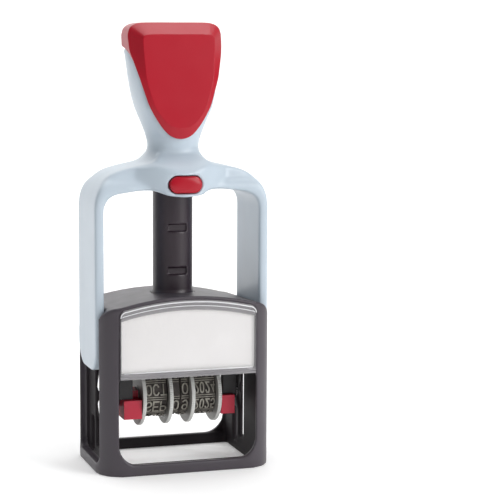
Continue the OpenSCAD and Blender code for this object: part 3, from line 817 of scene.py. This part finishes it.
def make_band(body):
    """A rubber band round its wheel and the nose, with raised characters between raised lands."""
    node = body + "_band"
    loop = Loop(node)
    bm = bmesh.new()
    steps, widest_cell = 150, 2.7 * MM
    c, groove, gap = 0.15 * MM, 0.12 * MM, 0.35 * MM
    section = [(loop.x0, -BAND_T + c), (loop.x0, -c), (loop.x0 + c, 0), (loop.x1 - c, 0), (loop.x1, -c),
               (loop.x1, -BAND_T + c), (loop.x1 - c, -BAND_T), (loop.x0 + c, -BAND_T)]
    stops = [loop.half * (2 * k / steps - 1) for k in range(steps)]
    bridge(bm, [[loop.point(x, s, h) for x, h in section] for s in stops], closed=True)
    pitch = 2 * loop.half / ROWS
    land = (pitch - LETTER_TALL) / 2 - STROKE
    for k, text in enumerate(TEXTS[body]):
        s = rows_down(k) * pitch
        edge = s + pitch / 2
        raise_land(bm, loop, edge - land, edge - groove)
        raise_land(bm, loop, edge + groove, edge + land)
        cell = min((loop.x1 - loop.x0) / max(len(text), 1), widest_cell)
        letter_w = cell - STROKE - gap
        first = (loop.x0 + loop.x1 - cell * len(text)) / 2
        for i, character in enumerate(text):
            x = first + cell * (i + 0.5) - letter_w / 2
            for line in STROKES[character]:
                raise_stroke(bm, loop, [(x + u * letter_w, s + (v - 0.5) * LETTER_TALL) for u, v in line])
    piece = from_bmesh(body + "_character_band", bm, BAND, GLYPH)
    piece.data.set_sharp_from_angle(angle=math.radians(30))
    place(piece, "carrier", "band_rubber", node)


# ---------- carrier and cassette ----------

def make_inner_parts():
    """Small mouldings of the carrier and the cassette, with rounded edges of that many millimetres."""
    for name, node, width, body, slot, material in (
        ("carrier_frame", "turnover_carrier", 0.3, "carrier", "black_plastic", BLACK),
        ("nose_bridge", "band_bridge", 0.12, "carrier", "black_plastic", BLACK),
        ("die_plate", "text_plate", 0.25, "carrier", "plate_plastic", PLATE),
        ("print_die", "text_die", 0.12, "carrier", "die_rubber", DIE),
        ("red_block_left", "axle_block_left", 0.35, "carrier", "block_plastic", BLOCK),
        ("red_block_right", "axle_block_right", 0.35, "carrier", "block_plastic", BLOCK),
        ("cassette_tray", "ink_cassette", 0.25, "cassette", "black_plastic", BLACK),
    ):
        place(crisp(name, node, width * MM, material), body, slot, node)


def make_pads():
    """The felt of the ink cassette: a blue pad for the text and a red strip for the date."""
    for name, node, slot, material in (("text_felt", "text_pad", "blue_ink_pad", BLUE_PAD),
                                       ("date_felt", "date_pad", "red_ink_pad", RED_PAD)):
        pad = place(softened(name, [node], 0.35 * MM, 6, material), "cassette", slot, node)


make_housing()
make_column()
make_window()
make_yoke()
make_grip_cap()
make_button()
make_springs()
for wheel_body in TEXTS:
    make_wheel(wheel_body)
    make_band(wheel_body)
make_inner_parts()
make_pads()
dress("index_card", CARD)
for steel_node in ("spring_rod", "carrier_pivot_pins", "wheel_axle", "axle_clips", "cam_pins"):
    dress(steel_node, STEEL)


# ---------- stage, light and camera ----------

def soft_box(name, place_at, aim, size, power):
    """A large soft lamp."""
    lamp = bpy.data.lights.new(name, "AREA")
    lamp.shape = "RECTANGLE"
    lamp.size, lamp.size_y = size
    lamp.energy = power
    holder = bpy.data.objects.new(name, lamp)
    holder.location = place_at
    holder.rotation_euler = (Vector(aim) - Vector(place_at)).to_track_quat("-Z", "Y").to_euler()
    bpy.context.scene.collection.objects.link(holder)


def make_stage():
    """A pale floor that sweeps up into a pale wall behind the stamp, in a pale surround."""
    m, tree, shader = new_material("sweep")
    white = srgb(244, 244, 244)
    colour_by(tree, shader, noise(tree, 0.2, 2.0), [(0.3, tint(white, 0.99)), (0.7, white)])
    shader.inputs["Roughness"].default_value = 0.9
    shader.inputs["Emission Color"].default_value = white
    shader.inputs["Emission Strength"].default_value = 0.22
    front, back, side, wall, radius = -3.0, 1.4, 3.0, 3.0, 0.5
    quarter = [math.radians(a) for a in range(0, 91, 6)]
    line = [(front, 0.0)]
    line += [(back + radius * math.sin(a), radius - radius * math.cos(a)) for a in quarter]
    line.append((back + radius, wall))
    bm = bmesh.new()
    rows = [[bm.verts.new((x, y, z)) for y, z in line] for x in (-side, side)]
    for k in range(len(line) - 1):
        bm.faces.new((rows[0][k], rows[1][k], rows[1][k + 1], rows[0][k + 1]))
    sweep = from_bmesh("sweep", bm, m)
    world = bpy.data.worlds.new("surround")
    world.use_nodes = True
    light = world.node_tree.nodes["Background"]
    light.inputs["Color"].default_value = (1, 1, 1, 1)
    light.inputs["Strength"].default_value = 0.33
    bpy.context.scene.world = world


def make_camera():
    """Camera low in front and to the left, with a long lens."""
    azimuth, elevation = math.radians(-16), math.radians(7.1)
    distance = 598 * MM
    target = Vector((0, 0, 78 * MM))
    level = math.cos(elevation)
    back = Vector((math.sin(azimuth) * level, -math.cos(azimuth) * level, math.sin(elevation)))
    data = bpy.data.cameras.new("camera")
    data.sensor_width = 36
    data.lens = 120.6
    data.shift_x = 0.155
    data.shift_y = -0.01
    camera = bpy.data.objects.new("camera", data)
    camera.location = target + distance * back
    camera.rotation_euler = (-back).to_track_quat("-Z", "Y").to_euler()
    bpy.context.scene.collection.objects.link(camera)
    bpy.context.scene.camera = camera


make_stage()
make_camera()
# the middle of the stamp, where most lamps point
STAMP = (0, 0, 0.08)
soft_box("left_box", (-0.6, -0.35, 0.4), STAMP, (0.45, 0.7), 0.08)
soft_box("right_box", (0.45, -0.5, 0.4), STAMP, (0.35, 0.6), 3.6)
soft_box("top_box", (0, 0.1, 0.75), STAMP, (0.6, 0.5), 2.1)
soft_box("wall_box", (0, 0.6, 1.3), (0, 1.9, 0.4), (2.0, 0.6), 22)
bpy.context.scene.view_settings.view_transform = "Standard"
